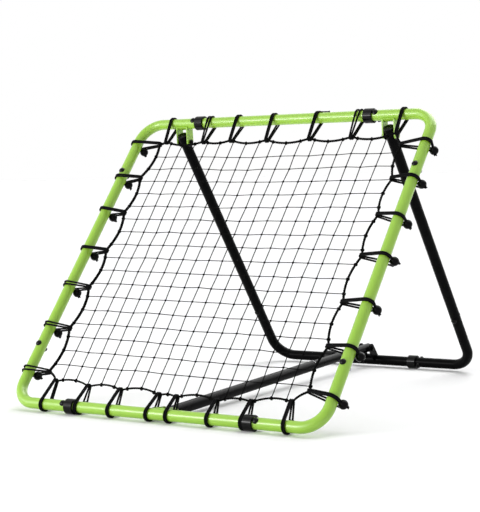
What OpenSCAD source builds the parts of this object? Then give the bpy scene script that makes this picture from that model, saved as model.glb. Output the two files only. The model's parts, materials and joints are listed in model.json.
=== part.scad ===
// Pitch back rebounder for ball games, in millimetres, +Z up.
// A square tube frame leans back with a knotted net hung inside it on elastic
// loops. A rear frame is hinged behind its top rail, and a telescoping strut
// on the floor ties the two together. The origin is on the floor, midway
// between the front and the rear floor rails. Front is -Y.

/* [Front frame] */
// Outer width of the square frame
frame_width = 1000; // [800:10:1400]
// Outer height of the square frame, along its lean
frame_height = 1000; // [800:10:1400]
// How far the frame leans back from upright, in degrees
frame_lean = 39.8; // [30:0.1:45]
// Outer diameter of every frame tube
tube_dia = 30; // [26:1:36]
// Wall of every frame tube
tube_wall = 1.5; // [1.2:0.1:2]
// Bend radius of the corners, on the tube's centreline
bend_radius = 63; // [55:1:90]

/* [Tube joints] */
// Upper seam of the side tubes, down from the top rail's centre
side_seam_top = 211; // [150:1:260]
// Lower seam of the side tubes, up from the bottom rail's centre
side_seam_low = 207; // [150:1:260]
// How far a swaged end goes into a corner tube
swage_length = 48; // [36:1:60]
// Rail joint bolts, from the seam towards the corner
rail_bolt_setback = 22; // [21:1:32]
// Side tube and leg joint bolts, from the seam towards the corner
side_bolt_setback = 28; // [21:1:32]
// Diameter of the joint bolts
joint_bolt_dia = 6; // [5:1:8]
// Diameter of every domed bolt head
head_dia = 16.4; // [12:0.2:17]

/* [Collars] */
// Wall of the collars over the rail seams
collar_wall = 5.5; // [5.4:0.1:7]
// Width of a collar, centred on the seam
collar_band = 27; // [20:1:34]
// Chamfer of a collar's outer edges
collar_chamfer = 0.8; // [0.4:0.1:1.5]
// Gap between a hinge bracket and the collar beside it
collar_gap = 29.3; // [20:0.1:60]

/* [Rear frame] */
// Distance between the centres of the front and rear floor rails
foot_spread = 1102; // [900:1:1300]
// Distance between the centres of the two legs
leg_spread = 692; // [500:1:900]
// Hinge axis, down the frame from the top rail's centre
hinge_drop = 40; // [34:1:48]
// Hinge axis, behind the frame's plane
hinge_back = 37; // [34:1:46]
// Leg above the hinge axis, its cap left out
leg_stub = 24; // [22:1:26]
// Seam of the legs, down from the hinge axis
leg_seam = 625; // [500:1:700]
// Seams of the rear floor rail, from the middle
rear_seam = 147; // [110:1:220]

/* [Strut] */
// Strut pivots, from the centres of the floor rails
strut_reach = 50; // [46:1:60]
// Front strut bracket, turned down from level, in degrees
front_bracket_dip = 2.9; // [-8:0.1:8]
// Rear strut bracket, turned forward from the legs, in degrees
rear_bracket_tilt = 3.6; // [0:0.1:8]
// Outer tube of the strut, from its pivot to its open rim
strut_rim = 700; // [600:1:760]
// Inner tube inside the outer tube, at rest
strut_overlap = 230; // [215:1:300]
// Diameter of the strut's inner tube
inner_dia = 26.8; // [25.8:0.1:26.8]
// Adjusting holes in the strut's outer tube
lock_holes = 5; // [2:1:5]
// Distance between adjusting holes
lock_pitch = 44; // [30:1:44]
// First adjusting hole, back from the open rim
lock_inset = 40; // [30:1:60]

/* [Brackets] */
// Thickness of a bracket's ears
ear_thickness = 3.5; // [3:0.1:5]
// Radius of an ear's rounded end
ear_radius = 14.5; // [14:0.5:18]
// Gap between an ear and the tube between the ears
ear_gap = 1.2; // [0.8:0.1:2]
// How far the hinge ears reach past the hinge axis
hinge_ear_end = 9; // [8:0.5:14]
// Radius of the washers between the hinge ears and the legs
washer_radius = 13; // [8:0.5:14]
// Thickness of the washers between the hinge ears and the legs
washer_thickness = 0.9; // [0.5:0.1:1]
// Diameter of the hinge and strut bolts
pivot_bolt_dia = 8; // [6:1:10]

/* [Net] */
// Squares across the net
net_columns = 18; // [12:1:18]
// Squares up the net
net_rows = 18; // [12:1:18]
// Left end of the net's squares, from the centre of the left side tube
net_inset_left = 85.7; // [70:0.1:110]
// Right end of the net's squares, from the centre of the right side tube
net_inset_right = 81.7; // [70:0.1:110]
// Lower end of the net's squares, from the centre of the bottom rail
net_inset_low = 80.2; // [70:0.1:110]
// Upper end of the net's squares, from the centre of the top rail
net_inset_top = 78.2; // [70:0.1:110]
// Thickness of the net's string
string_dia = 2; // [1.5:0.1:3]
// Diameter of the border rope
rope_dia = 6.5; // [5:0.1:8]
// Inward bow of the rope between two elastics, as a share of their distance
rope_bow = 0.1; // [0.02:0.01:0.14]

/* [Elastics] */
// Diameter of the elastic cord
cord_dia = 4.8; // [4:0.1:5]
// Diameter of the balls that the elastics are knotted through
ball_dia = 24.4; // [20:0.2:28]
// Turn of the top balls from straight behind the rail, towards the net
top_ball_turn = -38; // [-40:1:40]
// Turn of the bottom balls from straight behind the rail, towards the net
low_ball_turn = 38; // [-40:1:40]
// Turn of the left balls from straight behind the tube, towards the net
left_ball_turn = 28; // [-16:1:40]
// Turn of the right balls from straight behind the tube, towards the net
right_ball_turn = -16; // [-16:1:40]
// How far the side elastics' balls hang below their cords
ball_hang = 12; // [0:1:14]
// Top elastics: what they are counted from (-2 and 2 the legs, -1 and 1 the seams,
// 0 the middle), place on the rail, place on the rope, rope's distance from the rail
top_elastics = [
  [-2, -37, -34, 67], [-1, 38, 39.5, 71], [0, -147, -148, 69], [0, -25, -24, 73],
  [0, 120, 118, 73], [1, -28.5, -32.5, 73], [2, 44, 42, 57]
];
// Bottom elastics, in the same way
low_elastics = [
  [-1, -94.5, -93, 71], [-1, 27.5, 25.5, 63], [0, -150, -149, 60], [0, -25.5, -21, 55],
  [0, 36.5, 36.5, 53], [0, 162.7, 161, 51], [1, -19.7, -21, 57], [1, 102.5, 93, 66]
];
// Shift of each bottom elastic's ball along the rail
low_ball_shifts = [0, 0, 0, -9, 0, 0, -7.5, 0];
// Left elastics: place on the tube, place on the rope, rope's distance from the tube
left_elastics = [
  [98, 99, 69], [244, 241, 69], [381, 379, 69], [506, 506, 69], [646, 641, 69], [766, 768, 68],
  [894, 894, 83]
];
// Right elastics: place on the tube, place on the rope, rope's distance from the tube
right_elastics = [
  [85, 99, 69], [224, 228, 64], [359, 359, 69], [499, 501, 64], [623, 631, 61], [748, 749.5, 59],
  [868, 864, 67]
];

/* [Clearances] */
// Swaged ends in the corner tubes, on the radius
swage_gap = 0.1; // [0.05:0.05:0.3]
// Fixed bolts in their holes, on the radius
hole_gap = 0.1; // [0.05:0.05:0.3]
// Turning pivots on their bolts, on the radius
pivot_gap = 0.05; // [0.02:0.01:0.1]
// Play of the rear strut bolt in the inner tube, on the radius
rear_bolt_play = 1.9; // [1.8:0.1:3]
// Inner strut tube in the outer tube, on the radius
slide_gap = 0.4; // [0.4:0.1:0.8]
// Lock button in the strut's holes, on the radius
button_gap = 0.4; // [0.3:0.1:0.8]
// Elastic cord over its tube
cord_gap = 0.45; // [0.3:0.05:0.6]
// Balls behind their tubes
ball_gap = 0.5; // [0.3:0.1:1]

/* [Hidden] */
$fn = 48;
eps = 0.01;
tube_r = tube_dia / 2;
bore_r = tube_r - tube_wall;
swage_r = bore_r - swage_gap;
shoulder = 3;
collar_r = tube_r + collar_wall;
side_x = frame_width / 2 - tube_r;
top_z = frame_height - tube_dia;
foot_z = collar_r;
front_y = -foot_spread / 2;
rear_y = foot_spread / 2;

// Hinge axis in the frame's own plane and in the object's frame, as [y, z]
hinge_up = top_z - hinge_drop;
hinge = [
  front_y + hinge_up * sin(frame_lean) + hinge_back * cos(frame_lean),
  foot_z + hinge_up * cos(frame_lean) - hinge_back * sin(frame_lean)
];
leg_run = rear_y - hinge.x;
leg_fall = hinge.y - foot_z;
leg_length = sqrt(leg_run * leg_run + leg_fall * leg_fall);
rear_lean = atan2(leg_run, leg_fall);

// Strut pivots, as [y, z]
front_pivot = [
  front_y + strut_reach * cos(front_bracket_dip),
  foot_z - strut_reach * sin(front_bracket_dip)
];
rear_tilt = rear_lean + rear_bracket_tilt;
rear_pivot = [rear_y - strut_reach * sin(rear_tilt), foot_z + strut_reach * cos(rear_tilt)];
strut_run = rear_pivot.x - front_pivot.x;
strut_climb = rear_pivot.y - front_pivot.y;
strut_length = sqrt(strut_run * strut_run + strut_climb * strut_climb);
strut_rise = atan2(strut_climb, strut_run);
strut_end = 11;
inner_r = inner_dia / 2;
outer_bore_r = inner_r + slide_gap;
inner_bore_r = inner_r - 1.3;
inner_start = strut_rim - strut_overlap;
lock_at = strut_rim - lock_inset;
button_r = 3.5;
flange_out = 10.8;
flange = 1;
leaf = 0.8;
leaf_width = 7;
leaf_arm = 11;
leaf_gap = 0.05;

// Brackets
ear_in = tube_r + ear_gap;
ear_out = ear_in + ear_thickness;
saddle_r = tube_r + 3;

// Legs, and the seams of the top and bottom rails, from the middle
leg_x = leg_spread / 2;
rail_seam = leg_x - ear_out - collar_gap - collar_band / 2;

// Bolts
joint_r = joint_bolt_dia / 2;
pivot_r = pivot_bolt_dia / 2;
head_r = head_dia / 2;
head_rim = 1.4;
head_rise = 3.6;
head_sink = 2.7;
joint_nut_r = 6.8;
nut_sink = 2.2;
nut_height = 5.5;
thread_end = 2;

// Elastics
cord_r = cord_dia / 2;
ball_r = ball_dia / 2;
rope_r = rope_dia / 2;
wrap_r = tube_r + cord_gap + cord_r;
hook_r = rope_r + cord_gap + cord_r;
strand_offset = cord_r + 0.3;
seat = 0.1;
bite = 0.8;
ball_away = tube_r + ball_gap + ball_r;

// Places of the rails' elastics, from the middle
counted_from = [-leg_x, -rail_seam, 0, rail_seam, leg_x];
function placed(list) = [for (e = list) let (from = counted_from[e[0] + 2]) [from + e[1], from + e[2], e[3]]];
top_places = placed(top_elastics);
low_places = placed(low_elastics);

green = [0.36, 0.83, 0.12];
black = [0.08, 0.08, 0.09];
steel = [0.35, 0.35, 0.37];

echo("border rope, least gap to itself, mm", rope_self_gap());

// ---- Frames of reference ----

// The leaning front frame: X across, Y behind its plane, Z up its plane.
module lean_frame() {
  translate([0, front_y, foot_z]) rotate([-frame_lean, 0, 0]) children();
}

// The rear frame: origin on the hinge axis, -Z down the legs, Y behind them.
module rear_frame() {
  translate([0, hinge.x, hinge.y]) rotate([rear_lean, 0, 0]) children();
}

// The strut: origin on its front pivot, Y along it to the rear.
module strut_frame() {
  translate([0, front_pivot.x, front_pivot.y]) rotate([strut_rise, 0, 0]) children();
}

// ---- Shared shapes ----

// Centreline solid of a corner with its arms towards -X and -Z.
module elbow_solid(radius, arm_x, arm_z) {
  translate([-arm_x, 0, 0]) rotate([0, 90, 0]) cylinder(h = arm_x - bend_radius, r = radius);
  translate([0, 0, -arm_z]) cylinder(h = arm_z - bend_radius, r = radius);
  translate([-bend_radius, 0, -bend_radius]) rotate([90, 0, 0])
    rotate_extrude(angle = 90) translate([bend_radius, 0]) circle(r = radius);
}

// Hollow corner tube whose two ends take swaged tubes and a bolt each.
module corner_tube(arm_x, arm_z) {
  difference() {
    elbow_solid(tube_r, arm_x, arm_z);
    elbow_solid(bore_r, arm_x + 1, arm_z + 1);
    translate([rail_bolt_setback - arm_x, 0, 0]) bolt_hole();
    translate([0, 0, side_bolt_setback - arm_z]) bolt_hole();
  }
}

// Clearance hole for a joint bolt, along Y.
module bolt_hole() {
  rotate([90, 0, 0]) cylinder(h = 3 * tube_r, r = joint_r + hole_gap, center = true);
}

// Straight tube along Z from 0, with swaged ends where low or high isn't 0 and
// their bolt holes at the setback.
module swaged_tube(length, low, high, setback) {
  swage_bore = swage_r - tube_wall;
  bore_from = low > 0 ? shoulder : -1;
  bore_to = high > 0 ? length - shoulder : length + 1;
  difference() {
    union() {
      cylinder(h = length, r = tube_r);
      translate([0, 0, -low]) cylinder(h = length + low + high, r = swage_r);
    }
    translate([0, 0, -low - 1]) cylinder(h = length + low + high + 2, r = swage_bore);
    translate([0, 0, bore_from]) cylinder(h = bore_to - bore_from, r = bore_r);
    if (low > 0) translate([0, 0, -setback]) bolt_hole();
    if (high > 0) translate([0, 0, length + setback]) bolt_hole();
  }
}

// Swaged tube along X, centred, between two seams.
module centre_tube(seam) {
  translate([-seam, 0, 0]) rotate([0, 90, 0])
    swaged_tube(2 * seam, swage_length, swage_length, rail_bolt_setback);
}

// Low dome on a short rim, standing on Z = 0.
module dome(radius, rim, rise) {
  cap_r = (radius * radius + rise * rise) / (2 * rise);
  cylinder(h = rim, r = radius);
  intersection() {
    translate([0, 0, rim + rise - cap_r]) sphere(r = cap_r);
    translate([0, 0, rim]) cylinder(h = rise + 1, r = radius + 1);
  }
}

// Joint bolt through a tube along X, its head at -Y, seated on the tube.
module joint_bolt() {
  difference() {
    rotate([90, 0, 0]) translate([0, 0, tube_r - head_sink]) dome(head_r, head_sink + head_rim, head_rise);
    rotate([0, 90, 0]) cylinder(h = 3 * head_dia, r = tube_r, center = true);
  }
  rotate([-90, 0, 0]) translate([0, 0, -tube_r - eps])
    cylinder(h = 2 * tube_r + nut_height + thread_end, r = joint_r);
}

// Hexagon nut at +Y for a joint bolt, seated on the tube.
module joint_nut() {
  difference() {
    rotate([-90, 0, 0]) translate([0, 0, tube_r - nut_sink])
      cylinder(h = nut_height + nut_sink, r = joint_nut_r, $fn = 6);
    rotate([0, 90, 0]) cylinder(h = 3 * head_dia, r = tube_r, center = true);
    rotate([-90, 0, 0]) cylinder(h = 3 * tube_r, r = joint_r);
  }
}

// Puts a joint piece at the eight joints of the front frame.
module at_frame_joints() {
  bolt_x = rail_seam + rail_bolt_setback;
  low_bolt = side_seam_low - side_bolt_setback;
  top_bolt = top_z - side_seam_top + side_bolt_setback;
  for (x = [-bolt_x, bolt_x], z = [0, top_z]) translate([x, 0, z]) children();
  for (x = [-side_x, side_x], z = [low_bolt, top_bolt])
    translate([x, 0, z]) rotate([0, 90, 0]) children();
}

// Puts a joint piece at the four joints of the rear frame.
module at_rear_joints() {
  bolt_x = rear_seam + rail_bolt_setback;
  for (x = [-bolt_x, bolt_x]) translate([x, 0, -leg_length]) children();
  for (x = [-leg_x, leg_x])
    translate([x, 0, -leg_seam - side_bolt_setback]) rotate([0, 90, 0]) children();
}

// Ring over a seam at X = 0 of a tube along X, its outer edges chamfered.
module collar() {
  half = collar_band / 2;
  rotate([0, 90, 0]) rotate_extrude() polygon([
    [tube_r, -half],
    [collar_r - collar_chamfer, -half],
    [collar_r, collar_chamfer - half],
    [collar_r, half - collar_chamfer],
    [collar_r - collar_chamfer, half],
    [tube_r, half]
  ]);
}

// Two ears on a saddle over a tube along X; the pivot is at reach along Y, and
// the ears' rounded ends are cut off at end past it.
module bracket(reach, end) {
  difference() {
    union() {
      for (x = [-ear_out, ear_in]) translate([x, 0, 0]) {
        translate([0, reach, 0]) rotate([0, 90, 0]) cylinder(h = ear_thickness, r = ear_radius);
        translate([0, tube_r / 2, -ear_radius]) cube([ear_thickness, reach - tube_r / 2, 2 * ear_radius]);
      }
      intersection() {
        rotate([0, 90, 0]) cylinder(h = 2 * ear_out, r = saddle_r, center = true);
        translate([-ear_out, tube_r / 2, -saddle_r]) cube([2 * ear_out, tube_r, 2 * saddle_r]);
      }
    }
    rotate([0, 90, 0]) cylinder(h = 4 * ear_out, r = tube_r, center = true);
    translate([0, reach, 0]) rotate([0, 90, 0])
      cylinder(h = 4 * ear_out, r = pivot_r + hole_gap, center = true);
    translate([-2 * ear_out, reach + end, -2 * ear_radius])
      cube([4 * ear_out, 2 * ear_radius, 4 * ear_radius]);
  }
}

// Pivot bolt along X through two ears at X = 0, its head at -X.
module pivot_bolt() {
  translate([-ear_out, 0, 0]) rotate([0, -90, 0]) dome(head_r + 0.5, head_rim, head_rise);
  translate([-ear_out - eps, 0, 0]) rotate([0, 90, 0])
    cylinder(h = 2 * ear_out + nut_height + thread_end, r = pivot_r);
}

// Nut for the pivot bolt, on the ear at +X.
module pivot_nut() {
  translate([ear_out, 0, 0]) rotate([0, 90, 0]) difference() {
    cylinder(h = nut_height, r = 7.5, $fn = 6);
    translate([0, 0, -1]) cylinder(h = nut_height + 2, r = pivot_r);
  }
}

// Domed plug: its cap sits on a tube's end at Z = 0, its stem goes down into it.
module end_cap(cap_radius, stem_radius, stem) {
  dome(cap_radius, 1.5, 1.8);
  translate([0, 0, -stem]) cylinder(h = stem + eps, r = stem_radius);
}

// Round bar from one point to another.
module rod(from, to, radius) {
  run = to - from;
  flat = norm([run.x, run.y]);
  translate(from) rotate([0, atan2(flat, run.z), atan2(run.y, run.x)]) cylinder(h = norm(run), r = radius);
}

// ---- Front frame ----

module top_centre_tube() color(green) lean_frame() translate([0, 0, top_z]) centre_tube(rail_seam);

module bottom_centre_tube() color(green) lean_frame() centre_tube(rail_seam);

module top_right_corner() color(green) lean_frame()
  translate([side_x, 0, top_z]) corner_tube(side_x - rail_seam, side_seam_top);

module top_left_corner() color(green) lean_frame()
  mirror([1, 0, 0]) translate([side_x, 0, top_z]) corner_tube(side_x - rail_seam, side_seam_top);

module bottom_right_corner() color(green) lean_frame()
  translate([side_x, 0, 0]) mirror([0, 0, 1]) corner_tube(side_x - rail_seam, side_seam_low);

module bottom_left_corner() color(green) lean_frame()
  mirror([1, 0, 0]) translate([side_x, 0, 0]) mirror([0, 0, 1])
    corner_tube(side_x - rail_seam, side_seam_low);

// Side tube between the seams of its two corners.
module side_tube(x) {
  lean_frame() translate([x, 0, side_seam_low])
    swaged_tube(top_z - side_seam_top - side_seam_low, swage_length, swage_length, side_bolt_setback);
}

module left_side_tube() color(green) side_tube(-side_x);

module right_side_tube() color(green) side_tube(side_x);

// Hinge bracket that hangs behind and below the top rail.
module hinge_bracket(x) {
  reach = sqrt(hinge_drop * hinge_drop + hinge_back * hinge_back);
  lean_frame() translate([x, 0, top_z]) rotate([-atan2(hinge_drop, hinge_back), 0, 0])
    bracket(reach, hinge_ear_end);
}

module left_hinge_bracket() color(green) hinge_bracket(-leg_x);

module right_hinge_bracket() color(green) hinge_bracket(leg_x);

module strut_front_bracket() color(green)
  translate([0, front_y, foot_z]) rotate([-front_bracket_dip, 0, 0])
    bracket(strut_reach, ear_radius + 1);

module top_right_collar() color(black) lean_frame() translate([rail_seam, 0, top_z]) collar();

module top_left_collar() color(black) lean_frame()
  mirror([1, 0, 0]) translate([rail_seam, 0, top_z]) collar();

module bottom_right_collar() color(black) lean_frame() translate([rail_seam, 0, 0]) collar();

module bottom_left_collar() color(black) lean_frame()
  mirror([1, 0, 0]) translate([rail_seam, 0, 0]) collar();

module frame_joint_bolts() color(black) lean_frame() at_frame_joints() joint_bolt();

module frame_joint_nuts() color(black) lean_frame() at_frame_joints() joint_nut();

// Puts a pivot piece at both hinges, its head side outward.
module at_hinges() {
  translate([0, hinge.x, hinge.y]) {
    translate([-leg_x, 0, 0]) children();
    mirror([1, 0, 0]) translate([-leg_x, 0, 0]) children();
  }
}

module hinge_bolts() color(black) at_hinges() pivot_bolt();

module hinge_nuts() color(black) at_hinges() pivot_nut();

// Washers in the middle of the gaps between the hinge ears and the legs.
module hinge_washers() {
  from = tube_r + (ear_gap - washer_thickness) / 2;
  color(black) at_hinges() for (side = [0, 1]) mirror([side, 0, 0])
    translate([from, 0, 0]) rotate([0, 90, 0]) difference() {
      cylinder(h = washer_thickness, r = washer_radius);
      translate([0, 0, -1]) cylinder(h = washer_thickness + 2, r = pivot_r + hole_gap);
    }
}

module strut_front_bolt() color(black) strut_frame() pivot_bolt();

module strut_front_nut() color(black) strut_frame() pivot_nut();

// ---- Net and border rope ----

// Points of the rope from one elastic to the next, bowed to the right of the
// way there, which is the net's side. Points are [x, z] in the frame's plane.
rope_steps = 5;

function rope_span(from, to) = let (run = to - from, side = [run.y, -run.x])
  [for (i = [0:rope_steps - 1]) let (t = i / rope_steps) from + run * t + side * rope_bow * 4 * t * (1 - t)];

function reversed(list) = [for (i = [len(list) - 1:-1:0]) list[i]];

// The rope's ties, clockwise from the top left as seen from the front.
rope_ties = concat(
  [for (e = top_places) [e[1], top_z - e[2]]],
  [for (e = reversed(right_elastics)) [side_x - e[2], e[1]]],
  [for (e = reversed(low_places)) [e[1], e[2]]],
  [for (e = left_elastics) [e[2] - side_x, e[1]]]
);

rope_path = [
  for (i = [0:len(rope_ties) - 1])
    for (p = rope_span(rope_ties[i], rope_ties[(i + 1) % len(rope_ties)])) p
];

// Least gap between parts of the rope that aren't next to each other.
function rope_self_gap() = let (n = len(rope_path), apart = 2 * rope_steps)
  min([for (i = [0:n - 1]) for (j = [i + apart:n - 1]) if (n - j + i >= apart)
    norm(rope_path[i] - rope_path[j])]) - rope_dia;

// One closed tube along the points, in the plane Y = 0.
module closed_tube(path, radius, sides) {
  n = len(path);
  rings = [
    for (i = [0:n - 1])
      let (
        ahead = path[(i + 1) % n] - path[i],
        behind = path[i] - path[(i + n - 1) % n],
        way = ahead / norm(ahead) + behind / norm(behind),
        out = [way.y, -way.x] / norm(way)
      )
      for (s = [0:sides - 1])
        let (a = 360 * s / sides)
        [
          path[i].x + radius * cos(a) * out.x,
          radius * sin(a),
          path[i].y + radius * cos(a) * out.y
        ]
  ];
  faces = [
    for (i = [0:n - 1])
      for (s = [0:sides - 1])
        let (
          a = i * sides + s,
          b = i * sides + (s + 1) % sides,
          c = ((i + 1) % n) * sides + (s + 1) % sides,
          d = ((i + 1) % n) * sides + s
        )
        each [[a, c, b], [a, d, c]]
  ];
  polyhedron(points = rings, faces = faces, convexity = 10);
}

module net_border_rope() color(black) lean_frame() closed_tube(rope_path, rope_r, 6);

// Square net of flat strings whose ends are knotted into the rope.
module net() {
  column = (2 * side_x - net_inset_left - net_inset_right) / net_columns;
  row = (top_z - net_inset_low - net_inset_top) / net_rows;
  color(black) lean_frame() rotate([90, 0, 0])
    linear_extrude(height = string_dia, center = true) intersection() {
      polygon(rope_path);
      union() {
        for (i = [1:net_columns - 1]) translate([net_inset_left - side_x + i * column - string_dia / 2, 0])
          square([string_dia, top_z]);
        for (i = [1:net_rows - 1]) translate([-side_x, net_inset_low + i * row - string_dia / 2])
          square([2 * side_x, string_dia]);
      }
    }
}

// ---- Elastics ----

// One strand round a tube along X at the origin: from the ball behind it, over
// its outer side and its front, round the rope at Z = reach, and back. Y is
// behind. It leans by skew so that it meets the rope beside its tube place, and
// the ball is turned towards the rope by turn and shifted along the tube by shift.
module strand(reach, skew, shift, turn) {
  stretch = 1 / cos(skew);
  tube_wrap = wrap_r * stretch;
  rope_wrap = hook_r * stretch;
  rope_z = reach * stretch;
  ball = [ball_away * cos(turn), ball_away * sin(turn)];
  ball_from_rope = [ball.x, ball.y - rope_z];
  tube_from = 90 - turn + acos(tube_wrap / ball_away);
  tube_to = 360 - acos((tube_wrap - rope_wrap) / rope_z);
  rope_to = 360 + atan2(ball_from_rope.x, ball_from_rope.y) - acos(rope_wrap / norm(ball_from_rope));
  knot = [shift, ball.x, ball.y];
  tube_in = on_circle(0, tube_wrap, tube_from);
  tube_out = on_circle(0, tube_wrap, tube_to);
  rope_in = on_circle(rope_z, rope_wrap, tube_to);
  rope_out = on_circle(rope_z, rope_wrap, rope_to);
  arc_tube(0, tube_wrap, tube_from, tube_to);
  arc_tube(rope_z, rope_wrap, tube_to, rope_to);
  straight(tube_out, rope_in);
  straight(tube_in, short_of(tube_in, knot));
  straight(rope_out, short_of(rope_out, knot));
  if (shift != 0) for (p = [tube_in, rope_out]) translate(p) sphere(r = cord_r + seat);
}

// Straight stretch of a cord, a little thinner than the bends it enters.
module straight(from, to) {
  way = (to - from) / norm(to - from);
  rod(from - way * bite, to + way * bite, cord_r - seat);
}

// Where a cord ends inside its ball.
function short_of(from, knot) = knot + (from - knot) * (ball_r / 2) / norm(from - knot);

// Point on a circle in the YZ plane, its angle counted from +Z towards +Y.
function on_circle(z, radius, angle) = [0, radius * sin(angle), z + radius * cos(angle)];

// Bent cord on such a circle, from one angle to another.
module arc_tube(z, radius, from, to) {
  translate([0, 0, z]) rotate([0, -90, 0]) rotate([0, 0, from])
    rotate_extrude(angle = to - from) translate([radius, 0]) circle(r = cord_r);
}

// How far an elastic leans along its tube, in degrees.
function skew(e) = atan2(e[1] - e[0], e[2]);

// Places pieces at an elastic of a tube along X whose net side is +Z.
module at_elastic(e) {
  translate([e[0], 0, 0]) rotate([0, skew(e), 0]) children();
}

// The two strands of every elastic on one tube.
module cords(places, shifts, turn) {
  for (i = [0:len(places) - 1]) at_elastic(places[i]) for (x = [-strand_offset, strand_offset])
    translate([x, 0, 0]) strand(places[i][2], skew(places[i]), shifts[i], turn);
}

// The ball of every elastic on one tube.
module balls(places, shifts, turn) {
  for (i = [0:len(places) - 1]) at_elastic(places[i])
    translate([shifts[i], ball_away * cos(turn), ball_away * sin(turn)]) sphere(r = ball_r);
}

// The top rail, both side tubes and the bottom rail, each turned to lie along
// X with the net at +Z. On the sides X runs down on the left, up on the right.
module at_top_rail() lean_frame() translate([0, 0, top_z]) mirror([0, 0, 1]) children();

module at_left_tube() lean_frame() translate([-side_x, 0, 0]) rotate([0, 90, 0]) children();

module at_right_tube() lean_frame() translate([side_x, 0, 0]) rotate([0, -90, 0]) children();

function downward(places) = [for (e = places) [-e[0], -e[1], e[2]]];

function alike(places, shift) = [for (e = places) shift];

module top_cords() color(black) at_top_rail()
  cords(top_places, alike(top_places, 0), top_ball_turn);

module bottom_cords() color(black) lean_frame() cords(low_places, low_ball_shifts, low_ball_turn);

module left_cords() color(black) at_left_tube()
  cords(downward(left_elastics), alike(left_elastics, ball_hang), left_ball_turn);

module right_cords() color(black) at_right_tube()
  cords(right_elastics, alike(right_elastics, -ball_hang), right_ball_turn);

module top_cord_balls() color(black) at_top_rail()
  balls(top_places, alike(top_places, 0), top_ball_turn);

module bottom_cord_balls() color(black) lean_frame()
  balls(low_places, low_ball_shifts, low_ball_turn);

module left_cord_balls() color(black) at_left_tube()
  balls(downward(left_elastics), alike(left_elastics, ball_hang), left_ball_turn);

module right_cord_balls() color(black) at_right_tube()
  balls(right_elastics, alike(right_elastics, -ball_hang), right_ball_turn);

// ---- Rear frame ----

// Leg from its stub above the hinge down to its swaged end.
module leg_tube(x) {
  rear_frame() translate([x, 0, 0]) difference() {
    translate([0, 0, -leg_seam])
      swaged_tube(leg_seam + leg_stub, swage_length, 0, side_bolt_setback);
    rotate([0, 90, 0]) cylinder(h = 3 * tube_r, r = pivot_r + pivot_gap, center = true);
  }
}

module left_leg_tube() color(black) leg_tube(-leg_x);

module right_leg_tube() color(black) leg_tube(leg_x);

module leg_cap(x) {
  rear_frame() translate([x, 0, leg_stub]) end_cap(tube_r, bore_r - hole_gap, 12);
}

module left_leg_cap() color(black) leg_cap(-leg_x);

module right_leg_cap() color(black) leg_cap(leg_x);

// Right rear corner, with its arms up the leg and towards the middle.
module rear_corner() {
  rear_frame() translate([leg_x, 0, -leg_length]) mirror([0, 0, 1])
    corner_tube(leg_x - rear_seam, leg_length - leg_seam);
}

module rear_right_corner() color(black) rear_corner();

module rear_left_corner() color(black) mirror([1, 0, 0]) rear_corner();

module rear_centre_tube() color(black) rear_frame() translate([0, 0, -leg_length]) centre_tube(rear_seam);

module rear_right_collar() color(black) rear_frame() translate([rear_seam, 0, -leg_length]) collar();

module rear_left_collar() color(black)
  mirror([1, 0, 0]) rear_frame() translate([rear_seam, 0, -leg_length]) collar();

module strut_rear_bracket() color(black)
  translate([0, rear_y, foot_z]) rotate([90 + rear_tilt, 0, 0])
    bracket(strut_reach, ear_radius + 1);

module rear_joint_bolts() color(black) rear_frame() at_rear_joints() joint_bolt();

module rear_joint_nuts() color(black) rear_frame() at_rear_joints() joint_nut();

module strut_rear_bolt() color(black) strut_frame() translate([0, strut_length, 0]) pivot_bolt();

module strut_rear_nut() color(black) strut_frame() translate([0, strut_length, 0]) pivot_nut();

// ---- Strut ----

module strut_outer_tube() color(black) strut_frame() difference() {
  translate([0, -strut_end, 0]) rotate([-90, 0, 0]) cylinder(h = strut_end + strut_rim, r = tube_r);
  translate([0, -strut_end - 1, 0]) rotate([-90, 0, 0])
    cylinder(h = strut_end + strut_rim + 2, r = outer_bore_r);
  rotate([0, 90, 0]) cylinder(h = 3 * tube_r, r = pivot_r + pivot_gap, center = true);
  for (i = [0:lock_holes - 1]) translate([0, lock_at - i * lock_pitch, 0]) rotate([0, -90, 0])
    cylinder(h = 2 * tube_r, r = button_r + button_gap);
}

module strut_front_cap() color(black) strut_frame()
  translate([0, -strut_end, 0]) rotate([90, 0, 0]) end_cap(tube_r, outer_bore_r - hole_gap, 6);

module strut_inner_tube() color(black) strut_frame() difference() {
  translate([0, inner_start, 0]) rotate([-90, 0, 0])
    cylinder(h = strut_length + strut_end - inner_start, r = inner_r);
  translate([0, inner_start - 1, 0]) rotate([-90, 0, 0])
    cylinder(h = strut_length + strut_end - inner_start + 2, r = inner_bore_r);
  translate([0, strut_length, 0]) rotate([0, 90, 0])
    cylinder(h = 3 * tube_r, r = pivot_r + rear_bolt_play, center = true);
  translate([0, lock_at, 0]) rotate([0, -90, 0]) cylinder(h = 2 * tube_r, r = button_r + button_gap);
}

// Button that locks the strut: it stands out through both tubes at -X.
module strut_button() color(steel) strut_frame()
  translate([-flange_out, lock_at, 0]) rotate([0, -90, 0]) {
    dome(button_r, tube_r - flange_out, 1.2);
    translate([0, 0, -flange]) cylinder(h = flange, r = button_r + 1);
  }

// Bent leaf inside the inner tube that pushes the button out.
module button_spring() {
  near = flange_out - flange - leaf_gap;
  far = sqrt(inner_bore_r * inner_bore_r - leaf_width * leaf_width / 4) - leaf_gap;
  middle = (far - near) / 2;
  bend = (far + near) / 2;
  color(steel) strut_frame() translate([middle, lock_at, -leaf_width / 2]) {
    for (x = [-bend, bend - leaf]) translate([x, -leaf_arm, 0]) cube([leaf, 2 * leaf_arm, leaf_width]);
    translate([0, leaf_arm, 0]) rotate_extrude(angle = 180)
      translate([bend - leaf, 0]) square([leaf, leaf_width]);
  }
}

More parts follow.
